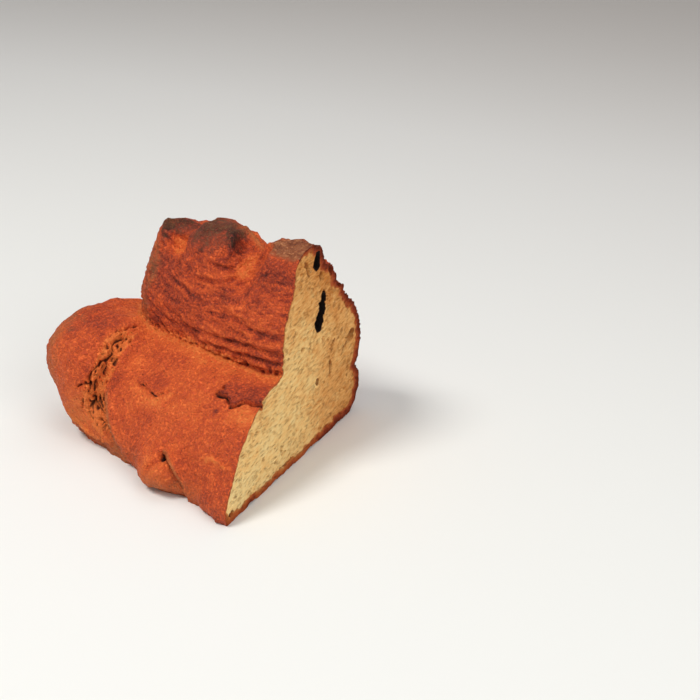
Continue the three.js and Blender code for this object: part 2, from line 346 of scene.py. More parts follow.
rims = [  # raised edges of the knobs
    dict(line=[(-60, 107, 128), (-56, 102, 127), (-52, 95, 126), (-50, 91, 122), (-49, 88, 117)],
         wide=2.7, high=1.6, bakeAndShading=0.48),
    dict(line=[(-58, 106, 128), (-54, 105.5, 127), (-49, 106, 126), (-44, 106, 123.5), (-40, 105, 121),
               (-34, 100, 119)], wide=1.2, high=2.4, bakeAndShading=-0.1, tan=1.0),
    # groove under the rim, painted with shade
    dict(line=[(-52, 101, 126), (-46, 102, 124), (-41, 101, 120), (-37, 98, 118)],
         wide=1.8, high=-0.9, bakeAndShading=0.22),
    dict(line=[(-108, 104, 118), (-103, 112, 120), (-96, 115, 120), (-88, 114, 119)],
         wide=2.2, high=1.9, bakeAndShading=0.25),
    dict(line=[(-103, 104, 116), (-99, 101, 111), (-95, 98, 106)], wide=1.7, high=-0.5, bakeAndShading=0.22),
    dict(line=[(-88, 113, 119), (-83, 101, 119), (-84, 97, 114), (-88, 94, 108)],
         wide=1.7, high=0.8, bakeAndShading=0.15),
    dict(line=[(-31, 100, 122), (-33, 96, 116), (-34, 90, 110)], wide=1.8, high=0.7, bakeAndShading=0.12),
]
# hollows pressed into the dough, and bulges where the depth is below 0: where, how large, how deep
dimples = [
    ((-106, 108, 121), (4, 5, 4), -3.0),
    ((-91, 99, 112), (9, 8, 8), 2.8),
    ((-44, 99, 121), (8, 9, 8), 3.2),
    ((-51, 12, 20), (4, 4, 3.5), 1.5),
    ((-48, 6, 10), (9, 7, 8), -2.2),
    ((-126, 93, 68), (14, 16, 9), 3.0),
    ((-144, 74, 64), (11, 14, 9), -1.8),
    ((-129, 36, 1), (8, 8, 8), 2.6),
    ((-1, 105, 120), (8, 8, 6), -1.4),
    ((0, 107, 129), (12, 7, 6), 2.4),
    ((-56, 18, 12), (12, 9, 10), -1.6),
]


def within(u, v, starts, ends):
    # whether points lie inside the outline that these edges make
    inside = np.zeros(len(u), bool)
    for (ax, ay), (bx, by) in zip(starts, ends):
        if ay != by:
            inside ^= ((ay > v) != (by > v)) & (u < ax + (v - ay) / (by - ay) * (bx - ax))
    return inside


def toOutline(u, v, outline):
    # signed distance to a closed outline, positive inside
    starts = np.array(outline, float)
    ends = np.roll(starts, -1, 0)
    best = np.full(len(u), 1e9)
    for (ax, ay), (bx, by) in zip(starts, ends):
        t = np.clip(((u - ax) * (bx - ax) + (v - ay) * (by - ay)) / ((bx - ax) ** 2 + (by - ay) ** 2), 0, 1)
        best = np.minimum(best, np.hypot(u - ax - t * (bx - ax), v - ay - t * (by - ay)))
    return np.where(within(u, v, starts, ends), best, -best)


def crustRelief(p, facing):
    # how far the crust is lifted, and its tone: bake (with painted shading), tan, grey, crack (with painted
    # shade)
    x, y, z = p.T
    low, high = tier(p, lowerTier), tier(p, upperTier)
    upper = smooth(low - high, -1.2, 1.2)
    lift = crust["broad"] * rough(p, 9, 1) + crust["fine"] * rough(p, 2.6, 2, 2)
    cracksAndShade = np.zeros(len(p))
    bakeAndShading = crust["bakeAndShading"] + 0.10 * rough(p, 30, 3) + 0.06 * rough(p, 8, 4)
    grey, tan = np.zeros(len(p)), np.zeros(len(p))

    # fine lines where the dough was rolled
    roundRoll = (p @ turned((-32, 0, 25))) / np.array([1, 4.5, 1])
    lines = creases(roundRoll, 3.0, 5)
    lift += (1 - upper) * crust["streak"] * lines
    bakeAndShading -= (1 - upper) * 0.04 * lines

    # wrinkled front of the upper tier, deeper towards the seam, painted lighter on its ridges and darker in
    # its creases as painted highlight and painted shade
    front = upper * smooth(-facing[:, 1], 0.1, 0.5) * smooth(122 - z, 0, 8)
    deepness = 0.40 + 0.60 * smooth(92 - z, 0, 20) * smooth(x, -105, -80)
    sagging = z + 0.10 * x + 2 * rough(p, 22, 5) + 6 * np.cos((x + 62) / 24)
    folds = creases(beside(x / 3.8, y / 2, sagging), 4.4, 6)
    fineFolds = creases(beside(x / 3.2, y / 2, sagging), 2.0, 7)
    lift += front * (deepness * crust["wrinkle"] * folds + 0.5 * fineFolds)
    bakeAndShading += front * (0.115 - 0.15 * deepness * folds - 0.13 * fineFolds)
    rear = smooth(facing[:, 1], -0.1, 0.4)
    lift += rear * (0.7 * upper + 0.4) * creases(beside(x / 2.6, y, z + 0.2 * x), 7, 27)
    for line, deep, wide in wrinkles:
        away, along, _ = awayFrom(p + 0.5 * rough(p, 5, 7)[:, None], laidOn(line))
        fade = np.sin(np.pi * np.clip(along * 0.92 + 0.04, 0, 1)) ** 0.5
        lift -= deep * fade * bell(away, wide)
        lift += 0.45 * deep * fade * bell(away - 2 * wide, wide)
        # painted shade in each groove, painted highlight on raised folds and on the lip beside a groove
        bakeAndShading += 0.12 * np.sign(deep) * fade * bell(away, wide)
        bakeAndShading -= 0.08 * fade * bell(away - 1.8 * wide, 1.2 * wide)

    # flaky bright seam between the tiers: broad up the foot of the upper one, a thin crest on the lower
    flaky = upper * smooth(7 + 2 * rough(p, 7, 8) - low, 0, 4) + (1 - upper) * smooth(3.2 - high, 0, 1.5)
    flakes = creases(p, 2.6, 9)
    lift += crust["flake"] * flaky * (flakes * (0.35 + 0.65 * upper) - 0.1)
    bakeAndShading += flaky * (-0.26 - 0.22 * flakes)
    cracksAndShade = np.maximum(cracksAndShade, flaky * upper * smooth(-flakes, 0.3, 1.0) * 0.55)
    bakeAndShading -= 0.17 * (1 - upper) * smooth(15 - high, 0, 12) * (1 + 0.6 * rough(p, 6, 10))
    crest = (1 - upper) * bell(high - 2.4)
    lift += 0.7 * crest
    bakeAndShading -= 0.08 * crest
    # painted shade: a dark line in the crease where the upper tier sits on the lower one near the cut
    under = upper * bell(low - 0.8) * smooth(x, -60, -5)
    lift -= 1.0 * under
    cracksAndShade = np.maximum(cracksAndShade, 0.7 * under)

    # torn join of the front roll and the end lobe
    away, along, side = awayFrom(p, laidOn(tear["shoulder"]))
    reach = side * away
    ends = smooth(along, 0.0, 0.1) * smooth(1 - along, 0, 0.06)
    fall = tear["valley"] * np.where(along > 0.7, 1.25, 1)
    lift += ends * (1.3 * bell(reach - 4, 4.5) - fall * bell(reach + 4.5, 4.2))
    bakeAndShading += ends * 0.10 * bell(reach - 4.5, 4) * smooth(0.75 - along, 0, 0.3)
    lowEnd = ends * smooth(along, 0.42, 0.6)
    tan = np.maximum(tan, 0.75 * lowEnd * bell(reach - 1.6, 1.3))
    # painted shadow: a dark line just below the pale rim of the shoulder
    cracksAndShade = np.maximum(cracksAndShade, 0.45 * lowEnd * bell(reach + 0.9, 0.9))
    torn = ends * smooth(reach, -15, -10) * smooth(0.8 - reach, 0, 2) * smooth(0.8 - along, 0, 0.12)
    shreds = creases(beside(x, y / 2.6, z / 2.6), 1.8, 11)
    lift += tear["raggedness"] * torn * shreds
    bakeAndShading += torn * (-0.38 - 0.16 * shreds)
    cracksAndShade = np.maximum(cracksAndShade, torn * smooth(-shreds, 0.4, 0.95) * 0.75)
    wobble = 0.8 * beside(*[rough(p, 3.5, seed, 2) for seed in (12, 13, 14)])
    for line in tear["cracks"]:
        away, along, _ = awayFrom(p + wobble, laidOn(line))
        wide = tear["wide"] * (0.45 + 0.5 * np.sin(np.pi * along) + 1.3 * rough(p, 3.5, 15, 2))
        parted = bell(away, np.maximum(wide, 0.25))
        lift -= tear["deep"] * parted
        lift += 0.4 * bell(away - 2.2 * tear["wide"], 0.9)
        cracksAndShade = np.maximum(cracksAndShade, 0.8 * parted ** 1.3)

    # edge of the roll over the lobe tucked under it, with a pit where the fold begins; painted shade darkens
    # the crease under the edge and the pit
    away, along, side = awayFrom(p + 0.3 * wobble, laidOn(tuck["line"]))
    depth = tuck["step"] * (0.6 + 0.4 * smooth(along, 0, 0.4))
    lift -= depth * np.exp(-away / 5.5) * (side <= 0)
    lift += 0.5 * depth * bell(away - 1.5, 3) * (side > 0)
    cracksAndShade = np.maximum(cracksAndShade, 0.8 * bell(away) * (side <= 0) * (1 - 0.6 * along))
    tan = np.maximum(tan, 0.7 * bell(away - 0.9, 0.9) * (side > 0))
    pit = patch(p, tuck["pit"], (1.9, 2.6, 1.9), crisp=0.8)
    lift -= 2.4 * pit
    cracksAndShade = np.maximum(cracksAndShade, 0.85 * pit)

    # the scar, its upper side lifted over a ragged crack, with painted shadow in the crack under the lifted
    # side
    away, along, over = awayFrom(p + 1.1 * wobble, laidOn(scar["line"]), 2)
    ragged = np.clip(0.9 + 1.1 * rough(p, 3, 25, 2), 0.25, 1.2) * smooth(along, -0.1, 0.15)
    lift += ragged * (scar["high"] * np.exp(-away / 4) * (over > 0) - 1.2 * np.exp(-away / 2.5) * (over <= 0))
    parted = bell(away, 0.6 + 0.9 * bell(along - 0.6, 0.2))
    cracksAndShade = np.maximum(cracksAndShade, 0.9 * ragged * parted * (over <= 0))
    bakeAndShading -= 0.16 * bell(away - 4, 3) * (over <= 0)

    # pale ridges, each with painted shade in a dark line under it
    for ridge in lightRidges:
        away, along, _ = awayFrom(p + 0.5 * wobble, laidOn(ridge["line"]))
        fade = np.sin(np.pi * np.clip(along, 0, 1)) ** 0.5 * bell(away, ridge["wide"])
        lift += ridge["high"] * fade * (1 + 0.5 * flakes)
        bakeAndShading -= fade * ridge["pale"] * (1 + 0.7 * flakes)
        away, along, _ = awayFrom(p + (0, 0, 2.2), laidOn(ridge["line"]))
        shaded = ridge["shaded"] * np.sin(np.pi * np.clip(along, 0, 1)) * bell(away, 1.1)
        lift -= 1.4 * shaded
        cracksAndShade = np.maximum(cracksAndShade, 0.6 * shaded)

    # the lifted scale of crust, free along its jagged lower edge, with painted shadow in the groove under
    # that edge
    onRoll = smooth(z, 42, 46) * (1 - upper)
    inside = toOutline(x + 0.4 * rough(p, 3, 16, 2), y + 0.4 * rough(p, 3, 17, 2), flap["outline"])
    inside = np.where(onRoll > 0.5, inside, -99.0)
    free = smooth(60 - y, 0, 14)
    onFlap = smooth(inside, -0.15, 0.45) * free
    lift += flap["lift"] * onFlap * (1.15 - 0.45 * smooth(inside, 0, 7))
    gap = bell(inside + 0.8, 0.85) * (inside < 0.05) * smooth(50 - y, 0, 6)
    lift -= flap["shadow"] * gap
    cracksAndShade = np.maximum(cracksAndShade, gap * np.clip(0.85 + 0.9 * rough(p, 4, 26, 2), 0.45, 1))
    bakeAndShading += 0.14 * onFlap * smooth(57 - y, 0, 10) + 0.25 * onFlap * bell(inside, 0.9)

    # ragged, scorched edge down the back of the cut
    back = smooth(y, 100, 114) * smooth(x, -40, -4) * smooth(z, 30, 56)
    teeth = creases(p, 2.8, 18)
    lift += back * (crust["backRag"] * rough(p, 6, 19, 2) + 0.9 * teeth)
    bakeAndShading += back * (0.14 - 0.22 * teeth)
    lip = patch(p, (0, 97, 127.5), (4.5, 14, 5), 0.3 * rough(p, 4, 20), 0.4)
    bakeAndShading += 0.6 * lip

    # broken crust low along the cut
    foot = smooth(board + 7 - z, 0, 5)
    lift += foot * 0.9 * rough(p, 4, 21)
    lift -= crust["undercut"] * smooth(board + 7 - z, 0, 8) * smooth(-x, 4, 14)
    bakeAndShading += foot * smooth(x, -26, 0) * 0.15

    # hollows and rims of the knobs, and the marks of the oven
    for at, size, deep in dimples:
        reach = ovalReach(p, at, size)
        lift -= deep * smooth(1.1 - reach, 0, 0.8)
        lift += 0.3 * max(deep, 0) * bell(reach - 1.15, 0.15)
    for rim in rims:
        away, along, _ = awayFrom(p + 0.4 * wobble, laidOn(rim["line"]))
        ridge = bell(away, rim["wide"]) * np.sin(np.pi * np.clip(along * 0.8 + 0.1, 0, 1))
        lift += rim["high"] * ridge
        bakeAndShading += rim["bakeAndShading"] * ridge
        tan = np.maximum(tan, rim.get("tan", 0) * ridge)
    knobs = smooth(z, 104, 118) * upper
    lift += knobs * 0.4 * creases(p, 4, 22)
    for spot in marks:
        here = patch(p, spot["at"], spot["size"], 0.36 * rough(p, 4.5, 23), spot["crisp"])
        bakeAndShading += spot.get("bakeAndShading", 0) * here
        grey = np.maximum(grey, spot.get("grey", 0) * here)
        tan = np.maximum(tan, spot.get("tan", 0) * here)

    # paler tan where the dough faced down or away from the heat
    pale = 0.65 * smooth(board + 22 - z, 0, 20) * (1 - 0.8 * smooth(x, -45, -12))
    pale = np.maximum(pale, 0.7 * smooth(-x, 150, 163))
    pale = np.maximum(pale, 0.7 * smooth(-x + 9 * rough(p, 9, 28), 102, 111) * upper)
    pale = np.maximum(pale, 0.35 * smooth(-x, 112, 124) * smooth(45 - z, 0, 20))
    tan = np.maximum(tan, pale * np.clip(0.8 + 0.6 * rough(p, 14, 24), 0, 1)) * (1 - 0.8 * torn) * (1 - grey)
    return lift, np.clip(beside(bakeAndShading, tan, grey, cracksAndShade), 0, 1)


def netOver(values, low, step):
    # one vertex in every grid cell that the skin passes through, one quad across every crossed edge
    inside = values < 0
    nx, ny, nz = values.shape
    cells = (nx - 1, ny - 1, nz - 1)
    total = np.zeros(cells + (3,))
    count = np.zeros(cells)

    def part(array, corner):
        i, j, k = corner
        return array[i:i + nx - 1, j:j + ny - 1, k:k + nz - 1]

    for a in np.ndindex(2, 2, 2):
        for axis in range(3):
            if a[axis]:
                continue
            b = tuple(1 if i == axis else a[i] for i in range(3))
            crossed = part(inside, a) != part(inside, b)
            va, vb = part(values, a)[crossed], part(values, b)[crossed]
            place = np.tile(np.array(a, float), (len(va), 1))
            place[:, axis] = va / (va - vb)
            total[crossed] += place
            count[crossed] += 1
    used = count > 0
    index = np.full(cells, -1)
    index[used] = np.arange(used.sum())
    cellAt = np.argwhere(used)
    points = low + (cellAt + total[used] / count[used][:, None]) * step

    quads = []
    for axis in range(3):
        one, two = [(1, 2), (2, 0), (0, 1)][axis]
        a = [slice(1, -1)] * 3
        a[axis] = slice(0, -1)
        b = list(a)
        b[axis] = slice(1, None)
        start, end = inside[tuple(a)], inside[tuple(b)]
        for leaving in (True, False):
            at = np.argwhere((start != end) & (start == leaving))
            if not len(at):
                continue
            at[:, [i for i in range(3) if i != axis]] += 1
            ring = []
            for du, dv in ((-1, -1), (0, -1), (0, 0), (-1, 0)):
                c = at.copy()
                c[:, one] += du
                c[:, two] += dv
                ring.append(index[c[:, 0], c[:, 1], c[:, 2]])
            quad = beside(*ring)
            quads.append(quad if leaving else quad[:, ::-1])
    quads = np.vstack(quads)
    return points, np.vstack([quads[:, [0, 1, 2]], quads[:, [0, 2, 3]]])


def splitWhere(points, tris, wanted):
    # halves every edge whose two ends are wanted
    edges = np.sort(np.vstack([tris[:, [0, 1]], tris[:, [1, 2]], tris[:, [2, 0]]]), axis=1)
    unique, back = np.unique(edges, axis=0, return_inverse=True)
    back = back.reshape(-1)
    split = wanted[unique[:, 0]] & wanted[unique[:, 1]]
    middle = np.full(len(unique), -1)
    middle[split] = len(points) + np.arange(split.sum())
    points = np.vstack([points, points[unique[split]].mean(1)])
    m = middle[back].reshape(3, -1).T
    kept = [tris[(m < 0).all(1)]]
    for turn in range(3):
        a, b, c = [np.roll(tris, -turn, 1)[:, i] for i in range(3)]
        ab, bc, ca = [np.roll(m, -turn, 1)[:, i] for i in range(3)]
        one = (ab >= 0) & (bc < 0) & (ca < 0)
        kept += [beside(a, ab, c)[one], beside(ab, b, c)[one]]
        two = (ab >= 0) & (bc >= 0) & (ca < 0)
        kept += [beside(a, ab, c)[two], beside(ab, bc, c)[two], beside(ab, b, bc)[two]]
    full = (m >= 0).all(1)
    a, b, c = tris[full].T
    ab, bc, ca = m[full].T
    kept += [beside(a, ab, ca), beside(ab, b, bc), beside(ca, bc, c), beside(ab, bc, ca)]
    return points, np.vstack(kept)


def bakedCrust():
    step, beyond = dough["grid"], dough["beyond"]
    low, high = np.array(dough["roomLow"], float), np.array(dough["roomHigh"], float)
    counts = np.ceil((high - low) / step).astype(int)
    axes = [low[i] + step * np.arange(counts[i]) for i in range(3)]
    grid = np.stack(np.meshgrid(*axes, indexing="ij"), -1)

    # every fourth point first, then every point near the skin
    skip = 4
    coarse = grid[::skip, ::skip, ::skip]
    values = doughSkin(coarse.reshape(-1, 3)).reshape(coarse.shape[:3])
    for axis in range(3):
        values = np.repeat(values, skip, axis)
    values = values[:counts[0], :counts[1], :counts[2]].copy()
    near = np.abs(values) < skip * step * 2.4
    values[near] = doughSkin(grid[near])
    values = np.maximum(values, np.maximum(grid[..., 0] - beyond, board - beyond - grid[..., 2]))
    points, tris = netOver(values, low, step)
    print("crust net:", len(points), "points")

    def clipped(p):
        return np.maximum(doughSkin(p), np.maximum(p[:, 0] - beyond, board - beyond - p[:, 2]))

    def notPast(p, margin):
        return (p[:, 0] < margin) & (p[:, 2] > board - margin)

    # finer on the side that shows, and finer again where the crust is torn, flaked or lifted
    _, facing = outward(points, clipped)
    shows = notPast(points, 1.5)
    inView = facing @ np.array(dough["seenFrom"]) > 0.08
    points, tris = splitWhere(points, tris, shows & (inView | (points[:, 0] > -7)))
    lines = [laidOn(line) for line in tear["cracks"] + [tuck["line"], scar["line"], tear["shoulder"]]]
    shows = notPast(points, 1.5)
    x, y, z = points.T
    toTracks = np.min([awayFrom(points, line)[0] for line in lines], axis=0)
    toFlap = np.abs(toOutline(x, y, flap["outline"])) + 99 * ((z < 45) | (z > 66) | (y > 62))
    toSeam = np.maximum(np.abs(tier(points, lowerTier)), np.abs(tier(points, upperTier))) + 99 * (y > 92)
    near = np.minimum(np.minimum(toTracks, toFlap), toSeam - 1)
    points, tris = splitWhere(points, tris, shows & ((near < 2.6) | ((x > -2.2) & (y > 85))))

    # back onto the skin, then out by the relief
    for _ in range(3):
        distance, facing = outward(points, clipped)
        points = points - facing * np.clip(distance, -1, 1)[:, None]
    shows = notPast(points, beyond - 0.2)
    _, facing = outward(points, doughSkin)
    lift, tone = crustRelief(points, facing)
    points = points + facing * (lift * shows)[:, None]
    return points, tris, tone


def meshOf(name, points, tris, tone):
    mesh = bpy.data.meshes.new(name)
    mesh.vertices.add(len(points))
    mesh.vertices.foreach_set("co", points.astype(np.float32).ravel())
    mesh.loops.add(3 * len(tris))
    mesh.loops.foreach_set("vertex_index", tris.astype(np.int32).ravel())
    mesh.polygons.add(len(tris))
    mesh.polygons.foreach_set("loop_start", np.arange(0, 3 * len(tris), 3, dtype=np.int32))
    mesh.update(calc_edges=True)
    layer = mesh.attributes.new("tone", "FLOAT_COLOR", "POINT")
    layer.data.foreach_set("color", tone.astype(np.float32).ravel())
    return mesh


def slicedAt(points, tris, tone):
    # cuts the crust off at the board and at the knife's plane, and leaves both open
    scratch = meshOf("scratch", points, tris, tone)
    cut = bmesh.new()
    cut.from_mesh(scratch)
    for normal in ((1, 0, 0), (0, 0, -1)):
        bmesh.ops.bisect_plane(cut, geom=cut.verts[:] + cut.edges[:] + cut.faces[:], dist=1e-4,
                               plane_co=(0, 0, board), plane_no=normal, clear_outer=True)
    bmesh.ops.triangulate(cut, faces=cut.faces[:])
    cut.verts.index_update()
    rim = [(e.verts[0].index, e.verts[1].index) for e in cut.edges if e.is_boundary]
    layer = cut.verts.layers.float_color["tone"]
    points = np.array([v.co[:] for v in cut.verts])
    tone = np.array([v[layer][:] for v in cut.verts])
    tris = np.array([[v.index for v in f.verts] for f in cut.faces])
    cut.free()
    bpy.data.meshes.remove(scratch)
    return points, tris, tone, np.array(rim)


def filled(flat, edges, spacing, seed):
    # triangles inside an outline, over a jittered lattice of new points
    outline, slot = np.unique(edges, return_inverse=True)
    slot = slot.reshape(edges.shape)
    low, high = flat[outline].min(0), flat[outline].max(0)
    rows = np.arange(low[1], high[1], spacing * 0.866)
    columns = np.arange(low[0], high[0], spacing)
    lattice = np.vstack([beside(columns + (i % 2) * spacing / 2, np.full(len(columns), row))
                         for i, row in enumerate(rows)])
    lattice += np.random.default_rng(seed).uniform(-0.13, 0.13, lattice.shape) * spacing
    lattice = lattice[within(lattice[:, 0], lattice[:, 1], flat[edges[:, 0]], flat[edges[:, 1]])]
    gap = toNearest(lattice, flat[outline])
    free = gap > 0.55 * spacing
    lattice, gap = lattice[free], gap[free]
    every = np.vstack([flat[outline], lattice])
    made = delaunay_2d_cdt([Vector(p) for p in every], [tuple(map(int, e)) for e in slot], [], 1, 1e-7)
    origin = np.array([o[0] if len(o) else -1 for o in made[3]])
    tris = origin[np.array(made[2])]
    tris = tris[(tris >= 0).all(1)]
    a, b, c = [every[tris[:, i]] for i in range(3)]
    clockwise = (b - a)[:, 0] * (c - a)[:, 1] - (b - a)[:, 1] * (c - a)[:, 0] < 0
    tris[clockwise] = tris[clockwise][:, ::-1]
    return outline, lattice, gap, tris


def toNearest(flat, others):
    # distance from each point to the nearest of the others
    tree = KDTree(len(others))
    for i, (u, v) in enumerate(others):
        tree.insert((u, v, 0), i)
    tree.balance()
    return np.array([tree.find((u, v, 0))[2] for u, v in flat])


crumb = {
    "spacing": 0.65,       # mm between the points of the cut face
    "sunk": 0.5,           # inside the crust the crumb has sprung back this far
    "pores": 1500,
    "poreLength": 1.9,
    "grain": 8,            # degrees from level that the pores are drawn out along
    "seed": 5,
}
# the large holes: lean is in degrees, dark is the painted shade in each, 1 where the knife opened a deep one
# that is painted black
holes = [dict(zip(("y", "z", "wide", "tall", "deep", "lean", "dark"), row)) for row in (
    (110.8, 85.5, 6.5, 15, 11, 12, 1.0),
    (107, 77, 9.5, 13, 13, 28, 1.0),
    (120, 88, 10, 12, 4, 0, 0.16),
    (104.5, 116.5, 7, 10, 7, 10, 1.0),
    (93.5, 115, 2.6, 9, 3, -25, 0.4),
    (85, 108, 3.5, 7, 2.5, 35, 0.2),
    (109, 105.5, 3.5, 5, 4, 10, 0.5),
    (121, 103.5, 3, 8, 4, -28, 0.65),
    (131, 92, 3, 8, 3, -30, 0.4),
    (146, 50, 8, 9, 5, 70, 0.38),
    (119.5, 39.5, 2.6, 8, 4, 0, 0.5),
    (123, 54, 2.4, 6, 3, 25, 0.35),
    (137, 45, 2, 7, 3, 50, 0.3),
    (131, 57, 2, 8, 2.5, 60, 0.25),
    (103.5, 38, 3.2, 3.2, 3, 0, 0.5),
    (95, 62.5, 2.2, 4.5, 2.5, 30, 0.25),
    (77, 80, 2, 4, 2.2, 30, 0.25),
    (3.4, 1.4, 4.2, 3.4, 4, 0, 0.75),
    (68, 1.6, 26, 1.2, 3, 0, 0.6),
)]


def holeShape(y, z):
    # depth of the large holes, and the painted shade in them, right up to their lips
    p = beside(0 * y, y, z)
    y = y + 0.8 * rough(p, 4, 21, 2)
    z = z + 0.8 * rough(p, 4, 22, 2)
    depth, dark = np.zeros(len(y)), np.zeros(len(y))
    for hole in holes:
        lean = math.radians(hole["lean"])
        across = (y - hole["y"]) * math.cos(lean) - (z - hole["z"]) * math.sin(lean)
        up = (y - hole["y"]) * math.sin(lean) + (z - hole["z"]) * math.cos(lean)
        out = (np.hypot(2 * across / hole["wide"], 2 * up / hole["tall"]) - 1) * hole["wide"] / 2
        depth = np.maximum(depth, hole["deep"] * smooth(-out, 0, 0.2 * hole["wide"]))
        # painted shade, darker towards the front and top of each hole and lighter towards its back and
        # bottom, except in the black holes
        shaded = np.clip(0.85 - 0.8 * across / hole["wide"] + 0.5 * up / hole["tall"], 0.35, 1.3)
        shaded = np.where(hole["dark"] > 0.9, 1, shaded)
        dark = np.maximum(dark, hole["dark"] * shaded * smooth(0.9 - out, 0, 0.5))
    return depth, dark


def poreShape(y, z):
    # small pores stamped on a fine map of the cut face, their depth and the painted shade in them, then read
    # back at each point
    step, lowY, lowZ = 0.25, -8.0, -6.0
    wide, tall = 700, 580
    maps = np.zeros((wide, tall, 2))
    draw = np.random.default_rng(crumb["seed"])
    for _ in range(crumb["pores"]):
        cy, cz = draw.uniform(-4, 160), draw.uniform(-2, 130)
        long = min(crumb["poreLength"] * math.exp(draw.normal(0, 0.6)), 6) / 2
        short = long * draw.uniform(0.22, 0.48)
        lean = math.radians(crumb["grain"] + draw.normal(0, 15))
        deep = short * draw.uniform(0.9, 1.9)
        i, j = int((cy - lowY) / step), int((cz - lowZ) / step)
        r = int(long / step) + 2
        i0, i1, j0, j1 = max(i - r, 0), min(i + r, wide), max(j - r, 0), min(j + r, tall)
        dy = (lowY + step * np.arange(i0, i1) - cy)[:, None]
        dz = (lowZ + step * np.arange(j0, j1) - cz)[None]
        along = (dy * math.cos(lean) + dz * math.sin(lean)) / long
        across = (dz * math.cos(lean) - dy * math.sin(lean)) / short
        out = along ** 2 + across ** 2
        stamp = np.stack([deep * np.sqrt(np.clip(1 - out, 0, 1)),
                          min(long / 1.8, 1) ** 2 * np.clip((1.3 - out) / 0.6, 0, 1)], 2)
        maps[i0:i1, j0:j1] = np.maximum(maps[i0:i1, j0:j1], stamp)
    u, v = (y - lowY) / step, (z - lowZ) / step
    i, j = np.floor(u).astype(int), np.floor(v).astype(int)
    fu, fv = (u - i)[:, None], (v - j)[:, None]
    read = (maps[i, j] * (1 - fu) * (1 - fv) + maps[i + 1, j] * fu * (1 - fv)
            + maps[i, j + 1] * (1 - fu) * fv + maps[i + 1, j + 1] * fu * fv)
    return read[:, 0], read[:, 1]


def bandWidth(y, z):
    # how thick the crust is where the knife went through it
    rear = smooth(y, 96, 112)
    top = 2.5 * smooth(z, 112, 122) * smooth(y, 84, 94)
    top = top + 4 * np.exp(-((y - 106) ** 2 + (z - 118) ** 2) / 60)
    return 2.1 + 3.4 * rear + top + 3.0 * smooth(board + 9 - z, 0, 5) * (1 - 0.7 * rear)


def crumbFace(flat, gap):
    # depth behind the knife's plane, and tone: crust to crumb, painted shade of holes and pores, warmth,
    # scorch
    y, z = flat.T
    p = beside(0 * y, y, z)
    band = bandWidth(y, z) * (1 + 0.45 * rough(p, 4.5, 23))
    fromRim = np.clip(gap / band, 0, 1)
    hole, dark = holeShape(y, z)
    pore, poreDark = poreShape(y, z)
    inCrumb = smooth(gap, 0.4 * band, 1.1 * band)
    lean = math.radians(crumb["grain"])
    along = y * math.cos(lean) + z * math.sin(lean)
    across = z * math.cos(lean) - y * math.sin(lean)
    fibres = rough(beside(0 * y, along / 4.5, across), 1.7, 24, 2)
    depth = crumb["sunk"] * smooth(gap, 0, 2.5) + 0.42 * fibres * smooth(gap, 0.5, 2)
    depth += 0.55 * (0.5 + rough(p, 2.2, 25, 2)) * smooth(1 - fromRim, 0, 0.5) * smooth(gap, 0, 1)
    depth += np.maximum(hole, pore * inCrumb) * smooth(gap, 0, 0.8)
    warm = 0.30 + 0.40 * smooth(y, 70, 140) + 0.38 * smooth(z, 70, 118)
    warm = warm - 0.18 * smooth(40 - z, 0, 30) * smooth(80 - y, 0, 50)
    warm = np.clip(warm + 0.15 * rough(p, 12, 26), 0, 1)
    scorch = 0.75 * smooth(y, 98, 114) + 0.25 * smooth(board + 8 - z, 0, 4) + 0.7 * smooth(z, 116, 123)
    scorch = np.clip(scorch + 0.35 * rough(p, 4, 27), 0, 1)
    return depth, beside(fromRim, np.maximum(dark, 0.20 * poreDark * inCrumb), warm, scorch)


